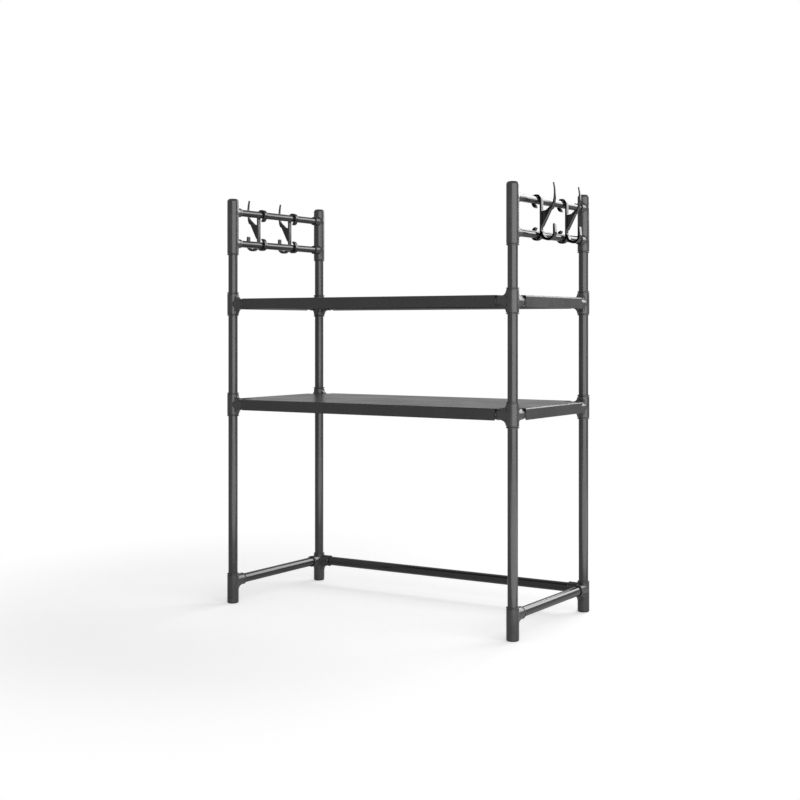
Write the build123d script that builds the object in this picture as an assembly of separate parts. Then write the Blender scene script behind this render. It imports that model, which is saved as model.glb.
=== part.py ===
from build123d import *
import os
from math import sqrt

# Knock-down rack that bridges an oven on a worktop: four tubular posts joined by moulded
# connectors, two pressed shelf trays, and a pair of rails with sliding hooks on each side.
# Millimetres. +X is right, +Y is back, +Z is up. The origin is on the worktop, midway between
# the four posts.

# ---- Driving dimensions: the frame ----
post_spacing_x = 545.0          # between post axes, left to right
post_spacing_y = 256.0          # between post axes, front to back
rack_height = 700.0             # worktop to the tops of the posts
base_axis_drop = 13.0           # from a foot's mouth down to the base tubes' axis
top_bay_height = 182.2          # from the tops of the posts down to the upper shelf's tube axis
shelf_spacing = 173.8           # between the tube axes of the two shelves
upper_rail_drop = 23.0          # from the tops of the posts down to the upper rails' axis
rail_spacing = 54.0             # between the upper and the lower rails' axes

# ---- Driving dimensions: tubes and rails ----
tube_diameter = 16.0
tube_wall = 1.0
rail_diameter = 12.0
rail_wall = 1.0

# ---- Driving dimensions: moulded connectors ----
collar_wall = 1.8               # plastic around a tube socket
socket_clearance = 0.1          # radial, between a tube and its socket
foot_height = 51.5
shelf_connector_height = 40.4
top_connector_skirt = 20.4      # lower rail's axis to the lower edge of a top connector
stub_reach = 26.0               # post axis to the mouth of a side stub
stub_web = 1.2                  # plastic left between a stub's socket and the post's
stop_web = 3.0                  # plastic between the two post sockets of a shelf connector
post_insertion = 18.0           # how far a post tube enters a foot or a top connector
mouth_bead_height = 1.6         # rolled bead round every socket mouth
mouth_bead_step = 0.4
gusset_radius_below = 9.0       # concave fairing under a stub
gusset_radius_above = 7.5       # concave fairing over a stub
gusset_width = 8.0
gusset_overlap = 0.3            # how far a gusset's ends are sunk into the cylinders it joins
foot_edge_radius = 2.5
cap_edge_radius = 5.0           # rounded top of each post
boss_reach = 18.5               # post axis to the mouth of a rail boss
boss_wall = 1.7
boss_flare = 1.3                # how much wider a boss is at its root
boss_web = 1.5                  # plastic behind a rail's end

# ---- Driving dimensions: shelf trays ----
sheet_thickness = 1.2
tray_apron_depth = 18.2         # top face to the lower edge of the folded apron
tray_bend_radius = 2.4          # outside radius of the fold
tray_tube_gap = 0.3             # between the aprons and the tubes they cover
tray_stub_gap = 0.5             # between the ends of the aprons and the stub mouths
tray_notch_radius = 8.0         # inner corner of each corner notch

# ---- Driving dimensions: sliding hooks ----
hook_offset_y = 46.0            # from mid-depth to each hook at rest
hook_width = 8.0
hook_thickness = 3.2
hook_running_gap = 0.35         # radial, between a clip and its rail
clip_wrap = 225.0               # how far each clip wraps its rail, in degrees
tongue_length = 11.0            # thickened lead-in tongue at the end of each clip
tongue_thickness = 4.6
arm_foot_height = 12.0          # lower end of the leaf-shaped arm, above the lower rail's axis
arm_foot_depth = 1.8            # how far the arm's lower end stands out from the strip
arm_root_height = 36.5          # top of the arm's root on the strip, above the lower rail's axis
arm_reach = 33.0                # rail axis to the outermost bow of the upright prong
arm_bow_height = 6.0            # that bow, above the upper rail's axis
arm_bend_depth = 7.0            # bend between leaf and prong, below the upper rail's axis
arm_bend_inset = 2.8            # the same bend, inward from the bow
arm_throat_inset = 9.0          # inner side of the bend, inward from the bow
arm_throat_depth = 9.2          # inner side of the bend, below the upper rail's axis
arm_prong_thickness = 2.9
arm_prong_width = 4.4
arm_tip_height = 27.5           # tip of the prong, above the upper rail's axis
arm_tip_inset = 2.6             # outer side of the tip, inward from the bow
arm_tip_width = 3.4
arm_tip_thickness = 2.2
crook_inner_radius = 8.6        # lower crook of the hook
crook_thickness = 4.2
crook_rise = 3.2                # centre of the crook, above the lower rail's axis
crook_tip_height = 17.0         # tip of the crook, above the lower rail's axis
crook_tip_thickness = 3.0
crook_tip_lean = 1.2            # how far the crook's tip leans back to the strip

# ---- Sizes that follow from these ----
tube_radius = tube_diameter / 2
rail_radius = rail_diameter / 2
socket_radius = tube_radius + socket_clearance
collar_radius = socket_radius + collar_wall
rail_socket_radius = rail_radius + socket_clearance
boss_radius = rail_socket_radius + boss_wall
stub_floor = socket_radius + stub_web           # post axis to the floor of a stub's socket
boss_floor = socket_radius + boss_web           # post axis to the floor of a rail's socket
post_x = post_spacing_x / 2
post_y = post_spacing_y / 2
base_axis_z = foot_height - base_axis_drop
upper_shelf_axis_z = rack_height - top_bay_height
lower_shelf_axis_z = upper_shelf_axis_z - shelf_spacing
upper_rail_z = rack_height - upper_rail_drop
lower_rail_z = upper_rail_z - rail_spacing
top_connector_low = lower_rail_z - top_connector_skirt

SIDES = {"left": -1, "right": 1}
ENDS = {"front": -1, "back": 1}
CORNERS = {                     # place, turn about the post and whether it is a back corner
    "front_left": (Pos(-post_x, -post_y, 0), 0, False),
    "front_right": (Pos(post_x, -post_y, 0), 90, False),
    "back_right": (Pos(post_x, post_y, 0), 180, True),
    "back_left": (Pos(-post_x, post_y, 0), 270, True),
}

os.makedirs("parts", exist_ok=True)


def save(solid, node):
    export_step(solid, f"parts/{node}.step")


def cylinder_between(start, end, radius):
    """Solid cylinder of one radius from one point to another."""
    axis = Vector(*end) - Vector(*start)
    return extrude(Plane(origin=start, z_dir=axis) * Circle(radius), axis.length)


def tube_between(start, end, radius, wall):
    return cylinder_between(start, end, radius) - cylinder_between(start, end, radius - wall)


# ---- Moulded connectors ----

def sleeve(low, high, bead_low, bead_high):
    """Outer body of a connector along a post, with a rolled bead at each open end."""
    body = cylinder_between((0, 0, low), (0, 0, high), collar_radius)
    bead_radius = collar_radius + mouth_bead_step
    if bead_low:
        body += cylinder_between((0, 0, low), (0, 0, low + mouth_bead_height), bead_radius)
    if bead_high:
        body += cylinder_between((0, 0, high - mouth_bead_height), (0, 0, high), bead_radius)
    return body


def gusset(level, direction, below):
    """Concave fairing in the corner between a stub and its collar, below or above the stub."""
    radius = gusset_radius_below if below else gusset_radius_above
    side = -1 if below else 1
    near = collar_radius - gusset_overlap
    far = near + radius
    middle = far - radius * sqrt(0.5)
    outline = Polyline((near, side * far), (0, side * far), (0, 0), (far, 0), (far, side * near))
    arc = ThreePointArc((far, side * near), (middle, side * middle), (near, side * far))
    upright = Plane(origin=(0, 0, level), x_dir=direction, z_dir=direction.cross(Vector(0, 0, 1)))
    return extrude(upright * make_face([outline, arc]), gusset_width / 2, both=True)


def stub(level, direction):
    """Side stub with a beaded mouth, and the gussets that brace it."""
    start = Vector(0, 0, level)
    mouth = start + direction * stub_reach
    bead_start = mouth - direction * mouth_bead_height
    body = cylinder_between(start, mouth, collar_radius)
    body += cylinder_between(bead_start, mouth, collar_radius + mouth_bead_step)
    return body + gusset(level, direction, True)


def stub_socket(level, direction):
    start = Vector(0, 0, level) + direction * stub_floor
    return cylinder_between(start, Vector(0, 0, level) + direction * stub_reach, socket_radius)


def rail_boss(level, direction):
    """Short flared boss that a hook rail plugs into."""
    root = Plane(origin=(0, 0, level), z_dir=direction)
    return root * Cone(boss_radius + boss_flare, boss_radius, boss_reach,
                       align=(Align.CENTER, Align.CENTER, Align.MIN))


def rail_socket(level, direction):
    start = Vector(0, 0, level) + direction * boss_floor
    end = Vector(0, 0, level) + direction * boss_reach
    return cylinder_between(start, end, rail_socket_radius)


def foot_connector(directions):
    """Closed foot with a socket for the post and one for each base tube."""
    body = sleeve(0, foot_height, False, True)
    body = fillet(body.edges().sort_by(Axis.Z)[0], foot_edge_radius)
    for direction in directions:
        body += stub(base_axis_z, direction)
    body -= cylinder_between((0, 0, foot_height - post_insertion), (0, 0, foot_height), socket_radius)
    for direction in directions:
        body -= stub_socket(base_axis_z, direction)
    return body


def shelf_connector(directions):
    """Collar that joins two post tubes and carries the tubes of a shelf, at whose axis it is centred."""
    half = shelf_connector_height / 2
    body = sleeve(-half, half, True, True)
    for direction in directions:
        body += stub(0, direction) + gusset(0, direction, False)
    body -= cylinder_between((0, 0, -half), (0, 0, -stop_web / 2), socket_radius)
    body -= cylinder_between((0, 0, stop_web / 2), (0, 0, half), socket_radius)
    for direction in directions:
        body -= stub_socket(0, direction)
    return body


def top_connector(direction):
    """Long rounded cap at the top of a post, with the bosses of both hook rails."""
    low = top_connector_low
    body = sleeve(low, rack_height, True, False)
    body = fillet(body.edges().sort_by(Axis.Z)[-1], cap_edge_radius)
    for level in (lower_rail_z, upper_rail_z):
        body += rail_boss(level, direction)
    body -= cylinder_between((0, 0, low), (0, 0, low + post_insertion), socket_radius)
    for level in (lower_rail_z, upper_rail_z):
        body -= rail_socket(level, direction)
    return body


def make_connectors():
    """Each moulding is made once, as it stands at the front left, and turned to its corner."""
    to_right, to_back = Vector(1, 0, 0), Vector(0, 1, 0)
    two_way_foot = foot_connector([to_right, to_back])
    one_way_foot = foot_connector([to_back])
    collar = shelf_connector([to_right, to_back])
    cap = top_connector(to_back)
    for corner, (place, turn, is_back) in CORNERS.items():
        two_way = place * Rot(0, 0, turn)
        one_way = place * Rot(0, 0, 180 if is_back else 0)
        save(two_way * two_way_foot if is_back else one_way * one_way_foot, f"foot_{corner}")
        save(Pos(0, 0, lower_shelf_axis_z) * two_way * collar, f"lower_connector_{corner}")
        save(Pos(0, 0, upper_shelf_axis_z) * two_way * collar, f"upper_connector_{corner}")
        save(one_way * cap, f"top_connector_{corner}")


# ---- Post tubes ----

def make_posts():
    """Three tubes to a post, each pushed home in the connectors at its ends."""
    runs = {
        "lower_post": (foot_height - post_insertion, lower_shelf_axis_z - stop_web / 2),
        "middle_post": (lower_shelf_axis_z + stop_web / 2, upper_shelf_axis_z - stop_web / 2),
        "upper_post": (upper_shelf_axis_z + stop_web / 2, top_connector_low + post_insertion),
    }
    for name, (low, high) in runs.items():
        tube = tube_between((0, 0, low), (0, 0, high), tube_radius, tube_wall)
        for corner, (place, turn, is_back) in CORNERS.items():
            save(place * tube, f"{name}_{corner}")


# ---- Horizontal tubes ----

def cross_tube(level, y):
    """Tube along X between the stubs of two posts."""
    end = post_x - stub_floor
    return tube_between((-end, y, level), (end, y, level), tube_radius, tube_wall)


def side_tube(level, x):
    """Tube along Y between the stubs of two posts."""
    end = post_y - stub_floor
    return tube_between((x, -end, level), (x, end, level), tube_radius, tube_wall)


def hook_rail(level, x):
    end = post_y - boss_floor
    return tube_between((x, -end, level), (x, end, level), rail_radius, rail_wall)


def make_tubes():
    save(cross_tube(base_axis_z, post_y), "base_tube_back")
    for side, sign in SIDES.items():
        save(side_tube(base_axis_z, sign * post_x), f"base_tube_{side}")
        save(hook_rail(lower_rail_z, sign * post_x), f"hook_rail_{side}_lower")
        save(hook_rail(upper_rail_z, sign * post_x), f"hook_rail_{side}_upper")
    for shelf, level in (("lower", lower_shelf_axis_z), ("upper", upper_shelf_axis_z)):
        for end, sign in ENDS.items():
            save(cross_tube(level, sign * post_y), f"{shelf}_shelf_tube_{end}")
        for side, sign in SIDES.items():
            save(side_tube(level, sign * post_x), f"{shelf}_shelf_tube_{side}")


# ---- Shelf trays ----

def shelf_tray(level):
    """Pressed tray that drops over its four tubes: a flat top with folded aprons."""
    reach = tube_radius + tray_tube_gap + sheet_thickness
    top = level + tube_radius + sheet_thickness
    middle = top - tray_apron_depth / 2
    width = post_spacing_x + 2 * reach
    depth = post_spacing_y + 2 * reach
    shell = Pos(0, 0, middle) * Box(width, depth, tray_apron_depth)
    shell = fillet(shell.edges().group_by(Axis.Z)[-1], tray_bend_radius)
    shell -= Pos(0, 0, middle - sheet_thickness) * Box(width - 2 * sheet_thickness,
                                                      depth - 2 * sheet_thickness,
                                                      tray_apron_depth)
    notch_x = post_x - stub_reach - tray_stub_gap
    notch_y = post_y - stub_reach - tray_stub_gap
    notch_width = width / 2 - notch_x
    notch_depth = depth / 2 - notch_y
    for sign_x in SIDES.values():
        for sign_y in ENDS.values():
            centre = Pos(sign_x * (notch_x + notch_width / 2), sign_y * (notch_y + notch_depth / 2),
                         middle)
            notch = centre * Box(notch_width, notch_depth, 2 * tray_apron_depth)
            inner = notch.edges().filter_by(Axis.Z).sort_by(lambda edge: abs(edge.center().X)
                                                            + abs(edge.center().Y))[0]
            shell -= fillet(inner, tray_notch_radius)
    return shell


# ---- Sliding hooks ----

def ring_sector(centre, inner, outer, start_angle, sweep):
    """Flat ring between two radii, from start_angle through sweep degrees."""
    inner_arc = CenterArc(centre, inner, start_angle, sweep)
    outer_arc = CenterArc(centre, outer, start_angle, sweep)
    return make_face([inner_arc, outer_arc, Line(inner_arc @ 0, outer_arc @ 0),
                      Line(inner_arc @ 1, outer_arc @ 1)])


def clip_profile(centre_z, turn):
    """One clip round a rail: turn 1 wraps over the top, turn -1 under the bottom."""
    inner = rail_radius + hook_running_gap
    outer = inner + hook_thickness
    clip = ring_sector((0, centre_z), inner, outer, 0, turn * clip_wrap)
    end = CenterArc((0, centre_z), (inner + outer) / 2, 0, turn * clip_wrap)
    heading = end % 1
    tongue_centre = (end @ 1) + heading * (tongue_length - tongue_thickness) / 2
    outward = (end @ 1 - Vector(0, centre_z)).normalized() * (tongue_thickness - hook_thickness) / 2
    place = Pos(tongue_centre.X + outward.X, tongue_centre.Y + outward.Y)
    angle = Vector(1, 0).get_signed_angle(heading, Vector(0, 0, 1))
    return clip + place * Rot(0, 0, angle) * SlotOverall(tongue_length, tongue_thickness)


def strip_faces():
    """Inner and outer faces of the upright strip, measured outward from the rail's axis."""
    inner = rail_radius + hook_running_gap
    return inner, inner + hook_thickness


def strip_profile():
    inner, outer = strip_faces()
    low, high = lower_rail_z, upper_rail_z
    return Pos((inner + outer) / 2, (low + high) / 2) * Rectangle(outer - inner, high - low)


def arm_profile():
    """Leaf-shaped arm: a deep straight leaf on the strip, a bend and a thin bowed prong."""
    strip_inner, strip_outer = strip_faces()
    root = (strip_inner + strip_outer) / 2
    foot_z = lower_rail_z + arm_foot_height
    tip_z = upper_rail_z + arm_tip_height - arm_tip_thickness / 2
    bow_z = upper_rail_z + arm_bow_height
    tip_u = arm_reach - arm_tip_inset
    foot = Vector(strip_outer + arm_foot_depth, foot_z)
    bend = Vector(arm_reach - arm_bend_inset, upper_rail_z - arm_bend_depth)
    throat = Vector(arm_reach - arm_throat_inset, upper_rail_z - arm_throat_depth)
    leaf_edge = Line(foot, bend)
    outer_edge = Spline(bend, (arm_reach, bow_z), (tip_u, tip_z),
                        tangents=[leaf_edge % 1, Vector(-arm_tip_inset, tip_z - bow_z)])
    inner_edge = Spline((tip_u - arm_tip_thickness, tip_z), (arm_reach - arm_prong_thickness, bow_z), throat,
                        (root, lower_rail_z + arm_root_height))
    tip = ThreePointArc(outer_edge @ 1, (tip_u - arm_tip_thickness / 2, tip_z + arm_tip_thickness / 2),
                        inner_edge @ 0)
    base = Polyline(inner_edge @ 1, (root, foot_z), foot)
    return make_face([leaf_edge, outer_edge, tip, inner_edge, base])


def arm_outline():
    """The arm seen from its side: full width down its leaf, narrowing to the prong's tip."""
    low = lower_rail_z
    waist = upper_rail_z - arm_bend_depth
    high = upper_rail_z + arm_tip_height
    half, prong_half, tip_half = hook_width / 2, arm_prong_width / 2, arm_tip_width / 2
    prong = (waist + 2 * high) / 3
    left = Spline((-tip_half, high), (-prong_half, prong), (-half, waist))
    right = Spline((half, waist), (prong_half, prong), (tip_half, high))
    base = Polyline(left @ 1, (-half, low), (half, low), right @ 0)
    return make_face([left, base, right, Line(right @ 1, left @ 0)])


def crook_profile():
    """Lower crook: half a ring from the foot of the strip, and its tapering upright tip."""
    strip_inner, strip_outer = strip_faces()
    outer = crook_inner_radius + crook_thickness
    centre_x = strip_outer - hook_thickness / 2 + outer
    centre_z = lower_rail_z + crook_rise
    ring = ring_sector((centre_x, centre_z), crook_inner_radius, outer, 180, 180)
    tip_z = lower_rail_z + crook_tip_height
    tip_round = crook_tip_thickness / 2
    tip_u = centre_x + outer - crook_tip_lean
    outer_edge = Line((centre_x + outer, centre_z), (tip_u, tip_z - tip_round))
    inner_top = (tip_u - crook_tip_thickness, tip_z - tip_round)
    tip = ThreePointArc(outer_edge @ 1, (tip_u - tip_round, tip_z), inner_top)
    inner_edge = Line(inner_top, (centre_x + crook_inner_radius, centre_z))
    prong = make_face([outer_edge, tip, inner_edge, Line(inner_edge @ 1, outer_edge @ 0)])
    return ring + prong


def hook():
    """One moulded double hook, with +X outward from the rails and its middle at Y = 0."""
    upright = Plane(origin=(0, 0, 0), x_dir=(1, 0, 0), z_dir=(0, -1, 0))
    sideways = Plane(origin=(0, 0, 0), x_dir=(0, 1, 0), z_dir=(1, 0, 0))
    band = strip_profile() + clip_profile(upper_rail_z, 1) + clip_profile(lower_rail_z, -1)
    band += crook_profile()
    body = extrude(upright * band, hook_width / 2, both=True)
    arm = extrude(upright * arm_profile(), hook_width, both=True)
    body += arm & extrude(sideways * arm_outline(), 2 * arm_reach, both=True)
    return body


def make_hooks():
    """The same moulding serves both sides, turned to face outward."""
    moulding = hook()
    for side, outward_turn in (("left", 180), ("right", 0)):
        for end, sign in ENDS.items():
            place = Pos(SIDES[side] * post_x, sign * hook_offset_y, 0) * Rot(0, 0, outward_turn)
            save(place * moulding, f"hook_{side}_{end}")


make_connectors()
make_posts()
make_tubes()
save(shelf_tray(lower_shelf_axis_z), "lower_shelf_tray")
save(shelf_tray(upper_shelf_axis_z), "upper_shelf_tray")
make_hooks()
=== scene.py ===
from math import cos, pi, radians, sin

import bpy
import numpy as np
from mathutils import Matrix, Quaternion, Vector


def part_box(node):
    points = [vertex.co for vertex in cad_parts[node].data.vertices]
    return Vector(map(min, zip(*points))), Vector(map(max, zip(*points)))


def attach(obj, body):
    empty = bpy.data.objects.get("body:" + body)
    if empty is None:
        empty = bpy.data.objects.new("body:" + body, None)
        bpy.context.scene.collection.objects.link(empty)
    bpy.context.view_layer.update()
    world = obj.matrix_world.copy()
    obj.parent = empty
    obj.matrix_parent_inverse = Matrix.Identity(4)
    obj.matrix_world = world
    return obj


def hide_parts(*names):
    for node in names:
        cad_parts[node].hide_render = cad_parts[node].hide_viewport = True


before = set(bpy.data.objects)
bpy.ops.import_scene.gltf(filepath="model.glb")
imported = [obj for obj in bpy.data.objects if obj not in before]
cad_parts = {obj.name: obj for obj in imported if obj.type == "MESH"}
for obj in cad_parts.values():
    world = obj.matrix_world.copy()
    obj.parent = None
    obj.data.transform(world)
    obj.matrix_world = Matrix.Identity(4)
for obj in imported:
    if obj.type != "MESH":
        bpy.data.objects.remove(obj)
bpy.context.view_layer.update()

# Looks of a countertop rack that bridges an oven. The tubes, rails and shelf trays keep their
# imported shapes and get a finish. The moulded connectors and the sliding hooks get softly rounded
# meshes of their own, each made once and placed at every corner. Those shapes are distance fields
# in millimetres, and become metres when their meshes are made.
MM = 0.001


def box_mm(node):
    """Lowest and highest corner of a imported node, in millimetres."""
    low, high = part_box(node)
    return Vector(low) / MM, Vector(high) / MM


# ---------------------------------------------------------------- sizes read from the frame
post_low, post_high = box_mm("middle_post_front_left")
collar_low, collar_high = box_mm("lower_connector_front_left")
upper_collar_low, upper_collar_high = box_mm("upper_connector_front_left")
base_low, base_high = box_mm("base_tube_left")
cap_low, cap_high = box_mm("top_connector_front_left")
lower_rail_low, lower_rail_high = box_mm("hook_rail_left_lower")
upper_rail_low, upper_rail_high = box_mm("hook_rail_left_upper")

POST = (post_low + post_high) / 2                   # middle of the front left post
TUBE = (post_high.x - post_low.x) / 2               # radius of a tube
BEAD = POST.x - collar_low.x                        # radius of the bead at a mouth
STUB_REACH = collar_high.x - POST.x                 # from a post's axis to the mouth of a stub
COLLAR_HALF = (collar_high.z - collar_low.z) / 2    # half the height of a shelf connector
LOWER_SHELF = (collar_low.z + collar_high.z) / 2    # levels of the shelves' tubes
UPPER_SHELF = (upper_collar_low.z + upper_collar_high.z) / 2
FOOT_HEIGHT = box_mm("foot_back_left")[1].z
BASE_LEVEL = (base_low.z + base_high.z) / 2         # level of the base tubes
CAP_LOW, CAP_HIGH = cap_low.z, cap_high.z
BOSS_REACH = cap_high.y - POST.y                    # from a post's axis to the mouth of a rail boss
RAIL = (lower_rail_high.z - lower_rail_low.z) / 2   # radius of a hook rail
LOWER_RAIL = (lower_rail_low.z + lower_rail_high.z) / 2
UPPER_RAIL = (upper_rail_low.z + upper_rail_high.z) / 2
RAIL_SPACING = UPPER_RAIL - LOWER_RAIL

# ---------------------------------------------------------------- sizes of the connectors
BEAD_STEP = 0.4                                     # how far a bead stands out of its collar
BEAD_LENGTH = 1.6
BEAD_ROUND = BEAD_LENGTH / 3
COLLAR = BEAD - BEAD_STEP                           # radius round a post
SHELF_STUB = COLLAR - 1.3                           # radius of a stub for a shelf tube
BASE_STUB = COLLAR - 0.2                            # radius of a stub for a base tube
GROOVE_WIDTH, GROOVE_DEPTH = 1.3, 0.9               # parting groove behind each bead
GROOVE_ROUND, GROOVE_MELT = 0.3, 0.2
SEAM, SEAM_DEPTH = 0.35, 2.6                        # gap left open round a tube at a mouth
LIP_ROUND = 0.5                                     # edges of the mouths
FOOT_ROUND = 2.5                                    # lower edge of a foot
CAP_ROUND = 5.0                                     # upper edge of a cap
WEB_BELOW, WEB_ABOVE = 9.0, 7.5                     # radii of the concave webs under and over a stub
WEB_WIDTH, WEB_ROUND = 12.0, 3.0
SHELF_WEBS = ((WEB_BELOW, -1), (WEB_ABOVE, 1))      # each web's radius, and -1 where it is below
FOOT_WEBS = ((WEB_BELOW, -1),)
STUB_MELT = 0.8                                     # how softly stubs and webs run into a collar
BOSS_ROOT, BOSS_MOUTH = 9.1, 7.8                    # radii of a rail boss
BOSS_MELT = 2.2

# ---------------------------------------------------------------- sizes of the double hook
# Places on the hook, as seen from its side, are given as the distance outward from the rails' axes
# and the height above the lower rail's axis.
HOOK_HALF_WIDTH = 4.0
HOOK_THICKNESS = 3.2
HOOK_GAP = 0.35                                     # between a clip and its rail
HOOK_MIDDLE = RAIL + HOOK_GAP + HOOK_THICKNESS / 2  # from a rail's axis to the middle of the strip
STRIP_ROUND = 0.9
CLIP_WRAP = 225.0                                   # how far a clip goes round its rail, in degrees
TONGUE_RUN = 6.4                                    # length of the tongue's middle line
TONGUE_HALF, TONGUE_SWELL = 1.5, 0.8                # half its thickness, and what is added midway
TONGUE_MELT = 1.0
CROOK_CENTRE, CROOK_TIP = (20.75, 3.2), (30.85, 15.5)
CROOK_RADIUS = 10.7                                 # radius of the crook's middle line
CROOK_HALF, CROOK_TIP_HALF = 2.1, 1.5               # half its thickness, round the bend and at the tip
CROOK_MELT = 1.5
LEAF = ((8.4, 13.0), (11.0, 13.0), (28.9, 46.0), (24.2, 43.8), (17.4, 37.7), (8.4, 35.5))  # its corners
LEAF_SWELL = 1.0                                    # how far the leaf reaches outside those corners
LEAF_ROUND = 2.2
LEAF_TAPER = (12.0, 30.0)                           # the leaf narrows between these distances outward
LEAF_END_HALF_WIDTH = 3.1
PRONG = ((27.0, 41.5), (34.4, 59.0), (29.3, 80.4))  # control points of the prong's middle line
PRONG_STEPS = 12
PRONG_ROOT_HALF, PRONG_TIP_HALF = 1.9, 1.1          # half its thickness
PRONG_TIP_HALF_WIDTH = 1.7
PRONG_NARROWING = 1.5                               # over 1, the prong narrows fastest near its root
PRONG_MELT = 3.0
ARM_MELT = 1.5
HOOK_OUT = 35.0                                     # room for the hook outward from the rails' axes,
HOOK_BELOW, HOOK_ABOVE = 15.0, 29.0                 # below the lower axis and above the upper one

# ---------------------------------------------------------------- fineness of the meshes
CONNECTOR_CELL, CONNECTOR_KEEP = 0.6, 0.3           # grid step, and the share of faces that is kept
HOOK_CELL, HOOK_KEEP = 0.45, 0.35
SLOPE_STEP = 0.02                                   # over which a field's slope is measured
LEAST_SLOPE = 0.2                                   # squared: limits the moves where a field is flat


# ---------------------------------------------------------------- distance fields
# A field is negative inside its shape and positive outside, and measures the way to its surface.

def melt(a, b, blend):
    """Union of two fields with a soft concave corner between them."""
    near = np.maximum(blend - np.abs(a - b), 0) / blend
    return np.minimum(a, b) - near * near * blend / 4


def carve(body, hole, blend):
    """The body without the hole, with a softened edge between them."""
    return -melt(-body, hole, blend)


def both(a, b, edge):
    """Common part of two fields, with the edge between them rounded."""
    a, b = a + edge, b + edge
    return np.minimum(np.maximum(a, b), 0) + np.hypot(np.maximum(a, 0), np.maximum(b, 0)) - edge


def slab(along, centre, half):
    """Field of what lies within a half width of the centre."""
    return np.abs(along - centre) - half


def rod(along, across, low, high, radius, edge):
    """Cylinder from low to high along its axis, where across is the distance from that axis."""
    return both(across - radius, slab(along, (low + high) / 2, (high - low) / 2), edge)


# ---------------------------------------------------------------- connectors
def beaded(body, along, across, mouth, way, radius=COLLAR):
    """Adds the bead and the parting groove at a mouth; way is 1 where the mouth is the upper end."""
    low, high = sorted((mouth, mouth - way * BEAD_LENGTH))
    ring = rod(along, across, low, high, radius + BEAD_STEP, BEAD_ROUND)
    centre = mouth - way * (BEAD_LENGTH + GROOVE_WIDTH / 2)
    groove = both(radius - GROOVE_DEPTH - across, slab(along, centre, GROOVE_WIDTH / 2), GROOVE_ROUND)
    return melt(carve(body, groove, GROOVE_MELT), ring, GROOVE_MELT)


def seam(body, along, across, mouth, way, tube=TUBE):
    """Opens a mouth a little round its tube, which leaves a dark line there.

    The seams are made last, so that nothing that is joined on afterwards fills them again.
    """
    low, high = sorted((mouth - way * SEAM_DEPTH, mouth + way * SEAM_DEPTH))
    return carve(body, rod(along, across, low, high, tube + SEAM, LIP_ROUND), LIP_ROUND)


def web(along, aside, away, radius, stub_radius):
    """Concave web in the corner between a stub and its collar; away is the height off the stub's axis."""
    right, top = COLLAR + radius, stub_radius + radius
    corner = radius - np.hypot(along - right, away - top)
    flat = np.maximum.reduce([corner, along - right, away - top, -along, -away])
    return both(flat, slab(aside, 0, WEB_WIDTH / 2), WEB_ROUND)


def add_stub(body, along, aside, height, radius, webs):
    """Runs a side stub with a beaded mouth, and its webs, into a collar."""
    across = np.hypot(aside, height)
    stub = rod(along, across, 0, STUB_REACH, radius, LIP_ROUND)
    body = melt(body, beaded(stub, along, across, STUB_REACH, 1, radius), STUB_MELT)
    for web_radius, side in webs:
        body = melt(body, web(along, aside, side * height, web_radius, radius), STUB_MELT)
    return body


def shelf_moulding(x, y, z):
    """Collar of a shelf corner, centred on the shelf's tubes, with stubs towards +X and +Y."""
    across = np.hypot(x, y)
    body = rod(z, across, -COLLAR_HALF, COLLAR_HALF, COLLAR, LIP_ROUND)
    for way in (-1, 1):
        body = beaded(body, z, across, way * COLLAR_HALF, way)
    for along, aside in ((x, y), (y, x)):
        body = add_stub(body, along, aside, z, SHELF_STUB, SHELF_WEBS)
    for way in (-1, 1):
        body = seam(body, z, across, way * COLLAR_HALF, way)
    for along, aside in ((x, y), (y, x)):
        body = seam(body, along, np.hypot(aside, z), STUB_REACH, 1)
    return body


def foot_moulding(stubs):
    """Field of a foot, closed below: one stub is towards +Y, and a second is towards +X."""
    def field(x, y, z):
        across, height = np.hypot(x, y), z - BASE_LEVEL
        ways = ((y, x), (x, y))[:stubs]
        # twice as long as the foot and cut off flat, so that its round edge is only below
        body = rod(z, across, 0, 2 * FOOT_HEIGHT, COLLAR, FOOT_ROUND)
        body = beaded(both(body, z - FOOT_HEIGHT, LIP_ROUND), z, across, FOOT_HEIGHT, 1)
        for along, aside in ways:
            body = add_stub(body, along, aside, height, BASE_STUB, FOOT_WEBS)
        body = seam(body, z, across, FOOT_HEIGHT, 1)
        for along, aside in ways:
            body = seam(body, along, np.hypot(aside, height), STUB_REACH, 1)
        return body
    return field


def cap_moulding(x, y, z):
    """Long cap of a post, with the flared bosses of both hook rails towards +Y."""
    across = np.hypot(x, y)
    rings = [np.hypot(x, z - level) for level in (LOWER_RAIL, UPPER_RAIL)]
    # reaches down to the worktop and is cut off flat, so that its round edge is only above
    body = rod(z, across, 0, CAP_HIGH, COLLAR, CAP_ROUND)
    body = beaded(both(body, CAP_LOW - z, LIP_ROUND), z, across, CAP_LOW, -1)
    for ring in rings:
        flare = BOSS_ROOT + (BOSS_MOUTH - BOSS_ROOT) * y / BOSS_REACH
        boss = both(ring - flare, slab(y, BOSS_REACH / 2, BOSS_REACH / 2), LIP_ROUND)
        body = melt(body, boss, BOSS_MELT)
    body = seam(body, z, across, CAP_LOW, -1)
    for ring in rings:
        body = seam(body, y, ring, BOSS_REACH, 1, RAIL)
    return body


# ---------------------------------------------------------------- the double hook
# Its parts are drawn from the side, in u outward and v upward, and then cut to their widths.

def segment(u, v, start, end, start_half, end_half, swell=0.0):
    """Thick line between two points, whose half thickness runs from one value to the other."""
    du, dv = end[0] - start[0], end[1] - start[1]
    part = np.clip(((u - start[0]) * du + (v - start[1]) * dv) / (du * du + dv * dv), 0, 1)
    half = start_half + (end_half - start_half) * part + swell * np.sin(pi * part)
    return np.hypot(u - start[0] - part * du, v - start[1] - part * dv) - half


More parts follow.
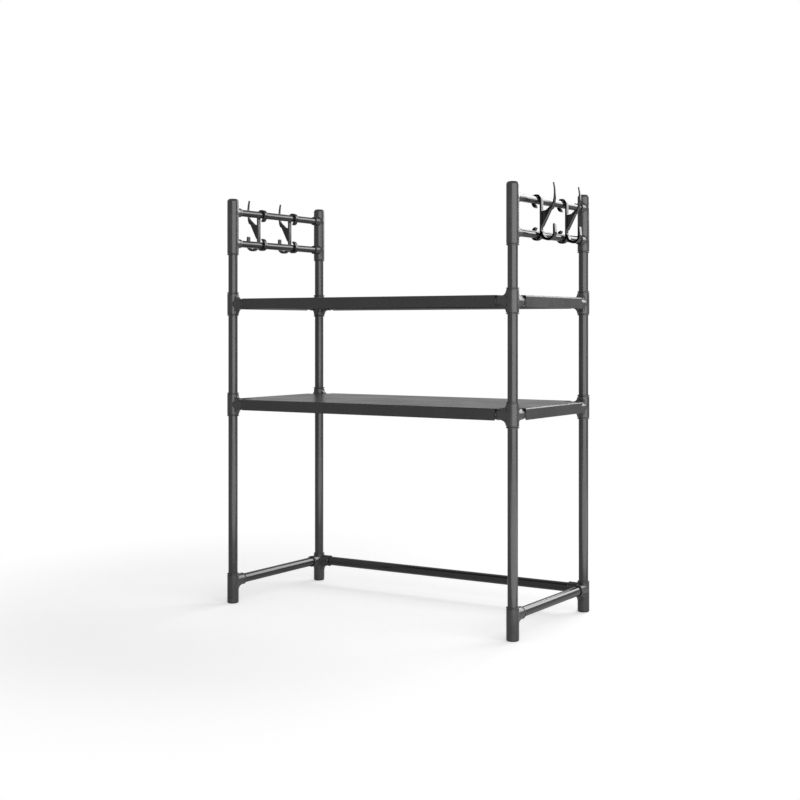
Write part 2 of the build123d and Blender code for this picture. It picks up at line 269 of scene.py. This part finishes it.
def arc_band(u, v, centre, radius, half, start, sweep):
    """Thick arc of a circle with round ends; angles in degrees, counted from the u axis."""
    u, v = u - centre[0], v - centre[1]
    middle = radians(start + sweep / 2)
    along = u * cos(middle) + v * sin(middle)
    aside = np.abs(v * cos(middle) - u * sin(middle))
    reach = radians(abs(sweep) / 2)
    inside = np.arctan2(aside, along) < reach
    end = np.hypot(along - radius * cos(reach), aside - radius * sin(reach))
    return np.where(inside, np.abs(np.hypot(u, v) - radius), end) - half


def polygon(u, v, corners):
    """Signed distance to a flat outline."""
    distance = np.full(u.shape, np.inf)
    inside = np.zeros(u.shape, bool)
    for (u0, v0), (u1, v1) in zip(corners, corners[1:] + corners[:1]):
        distance = np.minimum(distance, segment(u, v, (u0, v0), (u1, v1), 0, 0))
        if v0 != v1:
            crossing = u0 + (v - v0) * (u1 - u0) / (v1 - v0)
            inside ^= ((v0 > v) != (v1 > v)) & (u < crossing)
    return np.where(inside, -distance, distance)


def part_way(value, low, high):
    """0 up to the low value, 1 from the high one on, and even between them."""
    return np.clip((value - low) / (high - low), 0, 1)


def clip_band(u, v):
    """Clip over a rail at the origin, from the strip round the far side, with its lead-in tongue."""
    band = arc_band(u, v, (0, 0), HOOK_MIDDLE, HOOK_THICKNESS / 2, 0, CLIP_WRAP)
    turn = radians(CLIP_WRAP)
    out = HOOK_MIDDLE + TONGUE_SWELL
    start = (out * cos(turn), out * sin(turn))
    end = (start[0] - sin(turn) * TONGUE_RUN, start[1] + cos(turn) * TONGUE_RUN)
    return melt(band, segment(u, v, start, end, TONGUE_HALF, TONGUE_HALF, TONGUE_SWELL), TONGUE_MELT)


def crook_band(u, v):
    """Half a ring from the foot of the strip, and its tapering upright tip."""
    ring = arc_band(u, v, CROOK_CENTRE, CROOK_RADIUS, CROOK_HALF, 180, 180)
    ring_end = (CROOK_CENTRE[0] + CROOK_RADIUS, CROOK_CENTRE[1])
    return np.minimum(ring, segment(u, v, ring_end, CROOK_TIP, CROOK_HALF, CROOK_TIP_HALF))


def strip(u, y, v):
    """The upright strip with both clips and the crook, all of one width."""
    low, high = (HOOK_MIDDLE, 0), (HOOK_MIDDLE, RAIL_SPACING)
    band = segment(u, v, low, high, HOOK_THICKNESS / 2, HOOK_THICKNESS / 2)
    band = np.minimum(band, clip_band(u, v - RAIL_SPACING))
    band = np.minimum(band, clip_band(u, -v))
    band = melt(band, crook_band(u, v), CROOK_MELT)
    return both(band, slab(y, 0, HOOK_HALF_WIDTH), STRIP_ROUND)


def leaf(u, y, v):
    """The leaf-shaped arm, which narrows outward."""
    out = part_way(u, *LEAF_TAPER)
    half_width = HOOK_HALF_WIDTH - (HOOK_HALF_WIDTH - LEAF_END_HALF_WIDTH) * out * out * (3 - 2 * out)
    return both(polygon(u, v, LEAF) - LEAF_SWELL, slab(y, 0, half_width), LEAF_ROUND)


def prong_line():
    """Points along the middle line of the prong, a curve through its first and last control point."""
    root, bow, tip = (np.array(point) for point in PRONG)
    return [tuple((1 - t) ** 2 * root + 2 * t * (1 - t) * bow + t * t * tip)
            for t in np.linspace(0, 1, PRONG_STEPS + 1)]


def prong(u, y, v):
    """The thin prong that bows up from the end of the leaf."""
    line = prong_line()
    side = np.full(u.shape, np.inf)
    for step, (start, end) in enumerate(zip(line, line[1:])):
        halves = [PRONG_ROOT_HALF + (PRONG_TIP_HALF - PRONG_ROOT_HALF) * part / PRONG_STEPS
                  for part in (step, step + 1)]
        side = np.minimum(side, segment(u, v, start, end, *halves))
    rise = part_way(v, PRONG[0][1], PRONG[2][1])
    widening = (LEAF_END_HALF_WIDTH - PRONG_TIP_HALF_WIDTH) * (1 - rise) ** PRONG_NARROWING
    return both(side, slab(y, 0, PRONG_TIP_HALF_WIDTH + widening), STRIP_ROUND)


def hook_moulding(u, y, v):
    """Double hook: u is outward from the rails' axes, v is above the lower rail's axis."""
    arm = melt(leaf(u, y, v), prong(u, y, v), PRONG_MELT)
    return melt(strip(u, y, v), arm, ARM_MELT)


# ---------------------------------------------------------------- meshes from fields
def net(field, low, high, cell):
    """Quads round the zero level of a field: one point in each cell that the surface crosses.

    The point is the mean of the places where the surface crosses the cell's edges, and each
    crossed edge gives one quad, through the four cells round it.
    """
    axes = [np.arange(a - 2 * cell, b + 3 * cell, cell) for a, b in zip(low, high)]
    value = field(*np.meshgrid(*axes, indexing="ij"))
    shape = tuple(size - 1 for size in value.shape)
    total = np.zeros((np.prod(shape), 3))
    count = np.zeros(np.prod(shape))
    quads = []
    for axis in range(3):
        start = value.take(range(value.shape[axis] - 1), axis)
        end = value.take(range(1, value.shape[axis]), axis)
        where = np.argwhere((start < 0) != (end < 0))
        first, second = start[tuple(where.T)], end[tuple(where.T)]
        crossing = where.astype(float)
        crossing[:, axis] += first / (first - second)
        ring = []
        for du, dv in ((-1, -1), (0, -1), (0, 0), (-1, 0)):
            cells = where.copy()
            cells[:, (axis + 1) % 3] += du
            cells[:, (axis + 2) % 3] += dv
            flat = np.ravel_multi_index(cells.T, shape)
            ring.append(flat)
            count += np.bincount(flat, minlength=len(count))
            for k in range(3):
                total[:, k] += np.bincount(flat, crossing[:, k], len(count))
        quad = np.stack(ring, 1)
        # turned over where the surface faces back along the axis, so that every quad faces outward
        quad[first > 0] = quad[first > 0][:, ::-1]
        quads.append(quad)
    used = count > 0
    index = np.cumsum(used) - 1
    points = total[used] / count[used][:, None] * cell + [axis[0] for axis in axes]
    return points, index[np.concatenate(quads)]


def slope(field, points):
    """Direction in which the field grows fastest at each point."""
    result = np.empty_like(points)
    for k in range(3):
        offset = np.zeros(3)
        offset[k] = SLOPE_STEP
        result[:, k] = (field(*(points + offset).T) - field(*(points - offset).T)) / (2 * SLOPE_STEP)
    return result


def settle(field, points, turns):
    """Moves points on to the surface along the field's slope."""
    for _ in range(turns):
        way = slope(field, points)
        size = np.maximum((way * way).sum(1, keepdims=True), LEAST_SLOPE)
        points = points - field(*points.T)[:, None] * way / size
    return points


def thinned_mesh(name, points, quads, keep):
    """Mesh with only a share of its faces left, most of them where it bends."""
    full = bpy.data.meshes.new(name)
    full.from_pydata(points.tolist(), [], quads.tolist())
    holder = bpy.data.objects.new(name, full)
    bpy.context.collection.objects.link(holder)
    holder.modifiers.new("thin", "DECIMATE").ratio = keep
    mesh = bpy.data.meshes.new_from_object(holder.evaluated_get(bpy.context.evaluated_depsgraph_get()))
    bpy.data.objects.remove(holder)
    bpy.data.meshes.remove(full)
    mesh.name = name
    return mesh


def field_mesh(name, field, low, high, cell, keep, material):
    """Smooth mesh of a field, thinned where it is plain, with the field's own slope as its normals."""
    points, quads = net(field, low, high, cell)
    mesh = thinned_mesh(name, settle(field, points, turns=3), quads, keep)
    points = np.empty(len(mesh.vertices) * 3)
    mesh.vertices.foreach_get("co", points)
    points = settle(field, points.reshape(-1, 3), turns=1)
    normals = slope(field, points)
    normals /= np.linalg.norm(normals, axis=1, keepdims=True)
    mesh.vertices.foreach_set("co", (points * MM).ravel())
    mesh.polygons.foreach_set("use_smooth", [True] * len(mesh.polygons))
    mesh.update()
    mesh.normals_split_custom_set_from_vertices(normals.tolist())
    mesh.materials.append(material)
    return mesh


# ---------------------------------------------------------------- materials
NOISE_RANGE = (0.3, 0.7)                            # a noise's usual lowest and highest value
CLOUD_DETAIL, GRAIN_DETAIL = 3, 2
DARKER, LIGHTER = 0.9, 1.1                          # shares of the colour that the clouds run between


def new_material(name, color, roughness):
    material = bpy.data.materials.new(name)
    material.use_nodes = True
    nodes = material.node_tree.nodes
    shader = nodes["Principled BSDF"]
    shader.inputs["Base Color"].default_value = (*color, 1)
    shader.inputs["Roughness"].default_value = roughness
    return material, nodes, material.node_tree.links, shader


def mix_shaders(nodes, links, factor, first, second):
    """The first shader where the factor is 0, and the second where it is 1."""
    node = nodes.new("ShaderNodeMixShader")
    links.new(factor, node.inputs[0])
    links.new(first, node.inputs[1])
    links.new(second, node.inputs[2])
    return node.outputs[0]


def noise(nodes, links, scale, detail):
    """Noise fixed to the piece; scale is about its number of waves to a metre."""
    place = nodes.new("ShaderNodeTexCoord")
    texture = nodes.new("ShaderNodeTexNoise")
    texture.inputs["Scale"].default_value = scale
    texture.inputs["Detail"].default_value = detail
    links.new(place.outputs["Object"], texture.inputs["Vector"])
    return texture.outputs["Fac"]


def spread(nodes, links, source, low, high):
    """Maps a noise's usual range on to low..high."""
    ramp = nodes.new("ShaderNodeMapRange")
    for end, value in zip(("From Min", "From Max", "To Min", "To Max"), (*NOISE_RANGE, low, high)):
        ramp.inputs[end].default_value = value
    links.new(source, ramp.inputs["Value"])
    return ramp.outputs["Result"]


def finish_surface(name, color, roughness, cloud_scale, grain_scale, grain_height, specular=0.5):
    """Coated or moulded surface: clouds in its colour and gloss, and a fine grain in its normal."""
    material, nodes, links, shader = new_material(name, color, roughness[0])
    clouds = noise(nodes, links, cloud_scale, CLOUD_DETAIL)
    links.new(spread(nodes, links, clouds, *roughness), shader.inputs["Roughness"])
    tint = nodes.new("ShaderNodeMix")
    tint.data_type = "RGBA"
    for end, share in (("A", DARKER), ("B", LIGHTER)):
        tint.inputs[end].default_value = (*[channel * share for channel in color], 1)
    links.new(spread(nodes, links, clouds, 0, 1), tint.inputs["Factor"])
    links.new(tint.outputs["Result"], shader.inputs["Base Color"])
    bump = nodes.new("ShaderNodeBump")
    bump.inputs["Distance"].default_value = grain_height
    bump.inputs["Strength"].default_value = 1.0
    links.new(noise(nodes, links, grain_scale, GRAIN_DETAIL), bump.inputs["Height"])
    links.new(bump.outputs["Normal"], shader.inputs["Normal"])
    shader.inputs["Specular IOR Level"].default_value = specular
    return material


COAT = finish_surface("powder_coat", color=(0.036, 0.036, 0.038), roughness=(0.12, 0.2),
                      cloud_scale=35, grain_scale=700, grain_height=0.00002)
GLOSS_COAT = finish_surface("gloss_coat", color=(0.018, 0.018, 0.019), roughness=(0.08, 0.14),
                            cloud_scale=35, grain_scale=700, grain_height=0.00001)
MOULDED = finish_surface("moulded_grey", color=(0.040, 0.040, 0.042), roughness=(0.2, 0.3),
                         cloud_scale=60, grain_scale=1400, grain_height=0.00002)
SHEET = finish_surface("charcoal_sheet", color=(0.034, 0.033, 0.033), roughness=(0.22, 0.32),
                       cloud_scale=14, grain_scale=500, grain_height=0.00002, specular=0.4)
BLACK = finish_surface("gloss_black", color=(0.006, 0.006, 0.007), roughness=(0.12, 0.2),
                       cloud_scale=60, grain_scale=900, grain_height=0.00001)

# ---------------------------------------------------------------- pieces
CORNERS = {                                         # sides along X and Y, and turn about the post
    "front_left": (-1, -1, 0),
    "front_right": (1, -1, 90),
    "back_right": (1, 1, 180),
    "back_left": (-1, 1, 270),
}


def turned_place(x, y, z, turn):
    """Place in millimetres, with a turn in degrees about the upright axis there."""
    return Matrix.Translation((x * MM, y * MM, z * MM)) @ Matrix.Rotation(radians(turn), 4, "Z")


def place_piece(node, mesh, place, body):
    """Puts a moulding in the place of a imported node, on the node's body."""
    piece = bpy.data.objects.new(f"{node}_moulding", mesh)
    bpy.context.collection.objects.link(piece)
    piece.matrix_world = place
    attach(piece, body)
    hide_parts(node)


def connector_mesh(name, field, reach, low, high):
    """Connector that reaches as far as its bead towards -X and -Y."""
    return field_mesh(name, field, (-BEAD, -BEAD, low), (*reach, high),
                      CONNECTOR_CELL, CONNECTOR_KEEP, MOULDED)


def make_connectors():
    two_stubs = (STUB_REACH, STUB_REACH)
    collar = connector_mesh("shelf_moulding", shelf_moulding, two_stubs, -COLLAR_HALF, COLLAR_HALF)
    two_way_foot = connector_mesh("two_way_foot", foot_moulding(2), two_stubs, 0, FOOT_HEIGHT)
    one_way_foot = connector_mesh("one_way_foot", foot_moulding(1), (BEAD, STUB_REACH), 0, FOOT_HEIGHT)
    cap = connector_mesh("cap_moulding", cap_moulding, (BEAD, BOSS_REACH), CAP_LOW, CAP_HIGH)
    for corner, (side_x, side_y, two_way_turn) in CORNERS.items():
        x, y = side_x * abs(POST.x), side_y * abs(POST.y)
        one_way_turn = 180 if side_y > 0 else 0
        foot, foot_turn = (two_way_foot, two_way_turn) if side_y > 0 else (one_way_foot, one_way_turn)
        for node, mesh, z, turn in (
            (f"foot_{corner}", foot, 0, foot_turn),
            (f"lower_connector_{corner}", collar, LOWER_SHELF, two_way_turn),
            (f"upper_connector_{corner}", collar, UPPER_SHELF, two_way_turn),
            (f"top_connector_{corner}", cap, 0, one_way_turn),
        ):
            place_piece(node, mesh, turned_place(x, y, z, turn), "rack")


def make_hooks():
    low = (-RAIL - HOOK_THICKNESS, -HOOK_HALF_WIDTH, -HOOK_BELOW)
    high = (HOOK_OUT, HOOK_HALF_WIDTH, RAIL_SPACING + HOOK_ABOVE)
    mesh = field_mesh("double_hook", hook_moulding, low, high, HOOK_CELL, HOOK_KEEP, BLACK)
    for side, side_x, turn in (("left", -1, 180), ("right", 1, 0)):
        for end in ("front", "back"):
            node = f"hook_{side}_{end}"
            node_low, node_high = box_mm(node)
            y = (node_low.y + node_high.y) / 2
            place_piece(node, mesh, turned_place(side_x * abs(POST.x), y, LOWER_RAIL, turn), node)


def finish_of(name):
    """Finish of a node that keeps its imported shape, or None where a moulding replaces it."""
    if "tray" in name:
        return SHEET
    if "rail" in name or "base_tube" in name:
        return GLOSS_COAT
    if "post" in name or "tube" in name:
        return COAT
    return None


def dress_nodes():
    for name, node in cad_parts.items():
        finish = finish_of(name)
        if finish:
            node.data.materials.clear()
            node.data.materials.append(finish)


# ---------------------------------------------------------------- camera
CAMERA_PLACE = (1.2468, -1.9951, 0.478)             # metres
CAMERA_TURN = (90.0, 0.0, 32.23)                    # degrees; it looks level, so uprights stay parallel
CAMERA_LENS, CAMERA_SENSOR = 62.04, 36.0            # millimetres
PICTURE_SIZE = 800                                  # pixels
HORIZON_RISE = 73.03                                # pixels from the picture's middle up to the horizon


def make_camera():
    data = bpy.data.cameras.new("camera")
    data.lens = CAMERA_LENS
    data.sensor_width = CAMERA_SENSOR
    data.shift_y = -HORIZON_RISE / PICTURE_SIZE
    camera = bpy.data.objects.new("camera", data)
    camera.location = CAMERA_PLACE
    camera.rotation_euler = [radians(angle) for angle in CAMERA_TURN]
    bpy.context.collection.objects.link(camera)
    bpy.context.scene.camera = camera


# ---------------------------------------------------------------- stage and lights
FLOOR_SIZE = 60.0
FLOOR_COLOR = 0.8
FLOOR_ROUGHNESS = 0.7
FLOOR_LIFT = 0.42                                   # added to what the camera sees of the lit floor
FLOOR_NEAR, FLOOR_FAR = 0.5, 1.0                    # between these the floor fades into the backdrop
ROOM_LEVEL = 0.3                                    # even light from all round
MIRROR_LEVEL = 0.5                                  # how bright the pale room looks in reflections
BACKDROP_LEVEL = 1.0                                # white to the camera


def emission(nodes, level):
    node = nodes.new("ShaderNodeEmission")
    node.inputs["Strength"].default_value = level
    return node.outputs[0]


def distance_fade(nodes, links):
    """0 near the middle of the floor and 1 far from it."""
    place = nodes.new("ShaderNodeTexCoord")
    distance = nodes.new("ShaderNodeVectorMath")
    distance.operation = "LENGTH"
    links.new(place.outputs["Object"], distance.inputs[0])
    fade = nodes.new("ShaderNodeMapRange")
    fade.interpolation_type = "SMOOTHSTEP"
    fade.inputs["From Min"].default_value = FLOOR_NEAR
    fade.inputs["From Max"].default_value = FLOOR_FAR
    links.new(distance.outputs["Value"], fade.inputs["Value"])
    return fade.outputs["Result"]


def make_floor():
    """Pale floor that keeps the rack's shadow near it and runs into the white backdrop farther off.

    From below it is clear, so that the undersides can be seen.
    """
    bpy.ops.mesh.primitive_plane_add(size=FLOOR_SIZE, location=(0, 0, 0))
    floor = bpy.context.object
    floor.name = "floor"
    material, nodes, links, shader = new_material("floor_paint", (FLOOR_COLOR,) * 3, FLOOR_ROUGHNESS)
    paint = shader.outputs[0]
    lifted = nodes.new("ShaderNodeAddShader")
    links.new(paint, lifted.inputs[0])
    links.new(emission(nodes, FLOOR_LIFT), lifted.inputs[1])
    fade = distance_fade(nodes, links)
    shown = mix_shaders(nodes, links, fade, lifted.outputs[0], emission(nodes, BACKDROP_LEVEL))
    mirrored = mix_shaders(nodes, links, fade, paint, emission(nodes, MIRROR_LEVEL))
    path = nodes.new("ShaderNodeLightPath")
    surface = mix_shaders(nodes, links, path.outputs["Is Glossy Ray"], paint, mirrored)
    surface = mix_shaders(nodes, links, path.outputs["Is Camera Ray"], surface, shown)
    side = nodes.new("ShaderNodeNewGeometry").outputs["Backfacing"]
    clear = nodes.new("ShaderNodeBsdfTransparent").outputs[0]
    surface = mix_shaders(nodes, links, side, surface, clear)
    links.new(surface, nodes["Material Output"].inputs["Surface"])
    floor.data.materials.append(material)


def make_world():
    """White to the camera, pale in reflections, and a low even light on the object."""
    world = bpy.context.scene.world or bpy.data.worlds.new("world")
    bpy.context.scene.world = world
    world.use_nodes = True
    nodes, links = world.node_tree.nodes, world.node_tree.links
    nodes.clear()

    def background(level):
        node = nodes.new("ShaderNodeBackground")
        node.inputs["Color"].default_value = (1, 1, 1, 1)
        node.inputs["Strength"].default_value = level
        return node.outputs[0]

    path = nodes.new("ShaderNodeLightPath")
    surface = background(ROOM_LEVEL)
    for ray, level in (("Is Glossy Ray", MIRROR_LEVEL), ("Is Camera Ray", BACKDROP_LEVEL)):
        surface = mix_shaders(nodes, links, path.outputs[ray], surface, background(level))
    links.new(surface, nodes.new("ShaderNodeOutputWorld").inputs["Surface"])


def panel(name, place, target, width, height, radiance, turn=0.0, diffuse=True):
    """Soft box that shines at one brightness over its whole face."""
    data = bpy.data.lights.new(name, "AREA")
    data.shape = "RECTANGLE"
    data.size = width
    data.size_y = height
    data.energy = radiance * pi * width * height
    light = bpy.data.objects.new(name, data)
    light.location = place
    aim = (Vector(target) - Vector(place)).to_track_quat("-Z", "Y")
    light.rotation_euler = (aim @ Quaternion((0, 0, 1), turn)).to_euler()
    light.visible_camera = False
    light.visible_diffuse = diffuse
    bpy.context.collection.objects.link(light)


def make_lights():
    """Two soft boxes, and a board on the floor that shows only in gloss, mostly in the lower tubes."""
    panel("right_soft_box", place=(2.3, -1.35, 0.85), target=(0, 0, 0.45),
          width=4.4, height=1.7, radiance=3.2)
    panel("back_soft_box", place=(0.72, 2.29, 1.42), target=(0, 0, 0.4),
          width=2.2, height=1.2, radiance=4.8)
    panel("reflector_board", place=(1.33, -0.74, 0.002), target=(1.33, -0.74, 1),
          width=3.2, height=2.0, radiance=2.4, turn=-pi / 3, diffuse=False)


make_camera()
make_floor()
make_world()
make_lights()
dress_nodes()
make_connectors()
make_hooks()

bpy.context.scene.view_settings.view_transform = "Standard"
